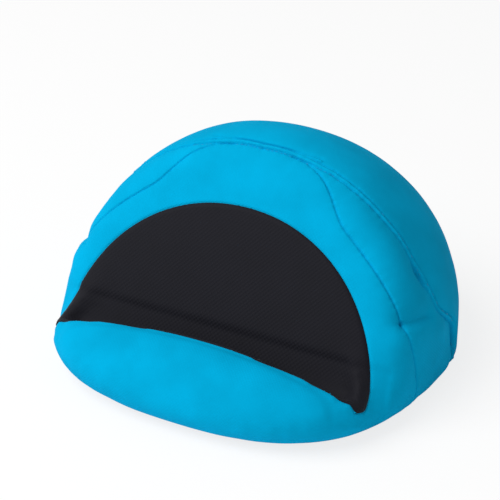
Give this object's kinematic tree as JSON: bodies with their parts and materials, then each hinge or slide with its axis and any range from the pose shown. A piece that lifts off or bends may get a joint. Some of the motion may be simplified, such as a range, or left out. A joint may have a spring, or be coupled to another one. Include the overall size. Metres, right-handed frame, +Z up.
{
  "type": "tablet cushion stand",
  "caption": "Soft bead-filled cushion with a low front lip, a slot and a leaning face that hold a tablet up for viewing.",
  "frame": {"origin": "middle of the footprint, on the ground, under the middle of the bag's bounding box", "axes": "+Z up; +X along the slot, to the right when facing the stand; the tablet faces -Y"},
  "size_m": [0.2546, 0.2519, 0.1461],
  "materials": {
    "blue_cloth": "matte",
    "grip_cloth": "matte"
  },
  "bodies": {
    "root": {"cushion_bag": "blue_cloth", "seat_panel": "grip_cloth"}
  },
  "joints": []
}
